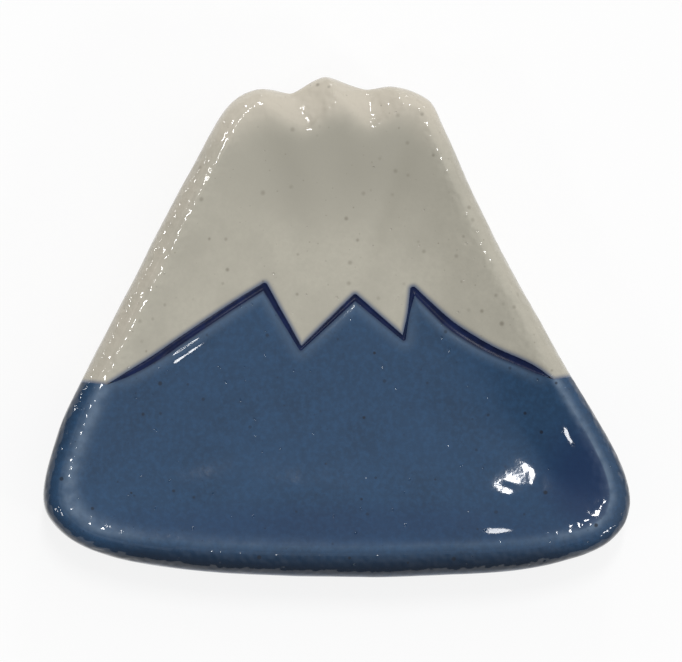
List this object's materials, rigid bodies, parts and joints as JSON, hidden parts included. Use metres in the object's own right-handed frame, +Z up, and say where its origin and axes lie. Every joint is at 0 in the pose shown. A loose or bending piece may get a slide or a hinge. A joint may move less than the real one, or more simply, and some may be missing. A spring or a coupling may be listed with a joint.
{
  "type": "chopstick rest",
  "caption": "Shallow glazed stoneware chopstick rest in a mountain outline, with a fluted crater edge, a hollow top and a flat bare foot.",
  "frame": {"origin": "on the table, under the middle of the outline's box", "axes": "+X to the right across the wide front, +Y from the front to the crater, +Z up"},
  "size_m": [0.0548, 0.0469, 0.008],
  "materials": {
    "fired_clay": "bare fired stoneware, fine grained and matte",
    "white_glaze": "glossy off-white glaze with fine iron specks",
    "blue_glaze": "glossy slate-blue glaze, thinner and lighter on the rim",
    "dark_glaze": "glossy dark blue glaze pooled in an incised line"
  },
  "bodies": {
    "root": {"clay_body": "fired_clay", "snow_glaze": "white_glaze", "blue_glaze": "blue_glaze", "snow_line": "dark_glaze"}
  },
  "joints": []
}
